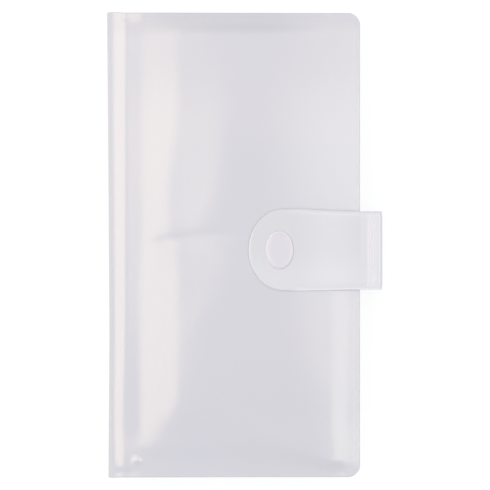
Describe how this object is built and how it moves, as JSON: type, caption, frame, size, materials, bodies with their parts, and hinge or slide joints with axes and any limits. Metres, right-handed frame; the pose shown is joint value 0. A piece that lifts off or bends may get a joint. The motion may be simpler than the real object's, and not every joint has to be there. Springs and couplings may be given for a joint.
{
  "type": "photo card album",
  "caption": "Slim photo card album with a soft frosted cover, a rounded spine, pocket pages that turn and a snap strap that loops round the fore-edge.",
  "frame": {"origin": "under the middle of the whole closed album, on the surface that its back cover lies on", "axes": "+X from the spine to the fore-edge and the strap, +Y from foot to head, +Z from the back cover to the front cover"},
  "size_m": [0.1124, 0.19, 0.0218],
  "materials": {
    "cover_pvc": "milky frosted soft PVC with a fine grain and a faint pearly sheen",
    "flap_pvc": "frosted soft PVC",
    "strap_pvc": "milky frosted soft PVC, thicker than the cover",
    "pocket_film": "clear glossy film",
    "end_sheet": "white translucent sheet",
    "binding": "white moulded plastic",
    "snap": "satin moulded plastic"
  },
  "bodies": {
    "back_cover": {"back_cover": "cover_pvc", "back_end_sheet": "end_sheet", "back_flap": "flap_pvc", "strap_tab": "strap_pvc"},
    "spine": {"spine": "cover_pvc", "binding_bar": "binding"},
    "front_cover": {"front_cover": "cover_pvc", "front_end_sheet": "end_sheet", "front_flap": "flap_pvc", "snap_stud": "snap", "snap_rivet": "snap"},
    "strap_loop": {"strap_loop": "strap_pvc"},
    "strap_tongue": {"strap_tongue": "strap_pvc", "snap_cap": "snap", "snap_socket": "snap"},
    "page_01": {"pocket_page_01": "pocket_film"},
    "page_02": {"pocket_page_02": "pocket_film"},
    "page_03": {"pocket_page_03": "pocket_film"},
    "page_04": {"pocket_page_04": "pocket_film"},
    "page_05": {"pocket_page_05": "pocket_film"},
    "page_06": {"pocket_page_06": "pocket_film"},
    "page_07": {"pocket_page_07": "pocket_film"},
    "page_08": {"pocket_page_08": "pocket_film"},
    "page_09": {"pocket_page_09": "pocket_film"},
    "page_10": {"pocket_page_10": "pocket_film"},
    "page_11": {"pocket_page_11": "pocket_film"},
    "page_12": {"pocket_page_12": "pocket_film"}
  },
  "joints": [
    {"name": "front_cover_hinge", "type": "hinge", "parent": "spine", "child": "front_cover", "pos_m": [-0.0468, 0, 0.018], "axis": [0, -1, 0], "range_deg": [0, 173]},
    {"name": "spine_lean", "type": "hinge", "parent": "back_cover", "child": "spine", "pos_m": [-0.0468, 0, 0], "axis": [0, -1, 0], "range_deg": [0, 17.01]},
    {"name": "strap_lower_fold", "type": "hinge", "parent": "back_cover", "child": "strap_loop", "pos_m": [0.0483, -0.002, 0.00175], "axis": [0, 1, 0], "range_deg": [0, 40]},
    {"name": "strap_upper_fold", "type": "hinge", "parent": "strap_loop", "child": "strap_tongue", "pos_m": [0.0483, -0.002, 0.01996], "axis": [0, 1, 0], "range_deg": [0, 130]},
    {"name": "page_turn_01", "type": "hinge", "parent": "spine", "child": "page_01", "pos_m": [-0.0468, 0, 0.018], "axis": [0, -1, 0], "range_deg": [0, 171.51]},
    {"name": "page_turn_02", "type": "hinge", "parent": "spine", "child": "page_02", "pos_m": [-0.0468, 0, 0.018], "axis": [0, -1, 0], "range_deg": [0, 170.01]},
    {"name": "page_turn_03", "type": "hinge", "parent": "spine", "child": "page_03", "pos_m": [-0.0468, 0, 0.018], "axis": [0, -1, 0], "range_deg": [0, 168.51]},
    {"name": "page_turn_04", "type": "hinge", "parent": "spine", "child": "page_04", "pos_m": [-0.0468, 0, 0.018], "axis": [0, -1, 0], "range_deg": [0, 167.01]},
    {"name": "page_turn_05", "type": "hinge", "parent": "spine", "child": "page_05", "pos_m": [-0.0468, 0, 0.018], "axis": [0, -1, 0], "range_deg": [0, 165.51]},
    {"name": "page_turn_06", "type": "hinge", "parent": "spine", "child": "page_06", "pos_m": [-0.0468, 0, 0.018], "axis": [0, -1, 0], "range_deg": [0, 164.01]},
    {"name": "page_turn_07", "type": "hinge", "parent": "spine", "child": "page_07", "pos_m": [-0.04605, 0, 0.00843], "axis": [0, -1, 0], "range_deg": [-14.01, 0]},
    {"name": "page_turn_08", "type": "hinge", "parent": "spine", "child": "page_08", "pos_m": [-0.04605, 0, 0.0073], "axis": [0, -1, 0], "range_deg": [-14.51, 0]},
    {"name": "page_turn_09", "type": "hinge", "parent": "spine", "child": "page_09", "pos_m": [-0.04605, 0, 0.00617], "axis": [0, -1, 0], "range_deg": [-15.01, 0]},
    {"name": "page_turn_10", "type": "hinge", "parent": "spine", "child": "page_10", "pos_m": [-0.04605, 0, 0.00504], "axis": [0, -1, 0], "range_deg": [-15.51, 0]},
    {"name": "page_turn_11", "type": "hinge", "parent": "spine", "child": "page_11", "pos_m": [-0.04605, 0, 0.00391], "axis": [0, -1, 0], "range_deg": [-16.01, 0]},
    {"name": "page_turn_12", "type": "hinge", "parent": "spine", "child": "page_12", "pos_m": [-0.04605, 0, 0.00278], "axis": [0, -1, 0], "range_deg": [-16.51, 0]}
  ],
  "couplings": [
    {"joint": "spine_lean", "follows": "front_cover_hinge", "ratio": 0.098266},
    {"joint": "page_turn_01", "follows": "front_cover_hinge", "ratio": 0.99133},
    {"joint": "page_turn_02", "follows": "front_cover_hinge", "ratio": 0.98266},
    {"joint": "page_turn_03", "follows": "front_cover_hinge", "ratio": 0.97399},
    {"joint": "page_turn_04", "follows": "front_cover_hinge", "ratio": 0.96532},
    {"joint": "page_turn_05", "follows": "front_cover_hinge", "ratio": 0.95665},
    {"joint": "page_turn_06", "follows": "front_cover_hinge", "ratio": 0.94798},
    {"joint": "page_turn_07", "follows": "front_cover_hinge", "ratio": -0.080925},
    {"joint": "page_turn_08", "follows": "front_cover_hinge", "ratio": -0.083815},
    {"joint": "page_turn_09", "follows": "front_cover_hinge", "ratio": -0.086705},
    {"joint": "page_turn_10", "follows": "front_cover_hinge", "ratio": -0.089595},
    {"joint": "page_turn_11", "follows": "front_cover_hinge", "ratio": -0.092486},
    {"joint": "page_turn_12", "follows": "front_cover_hinge", "ratio": -0.095376}
  ]
}
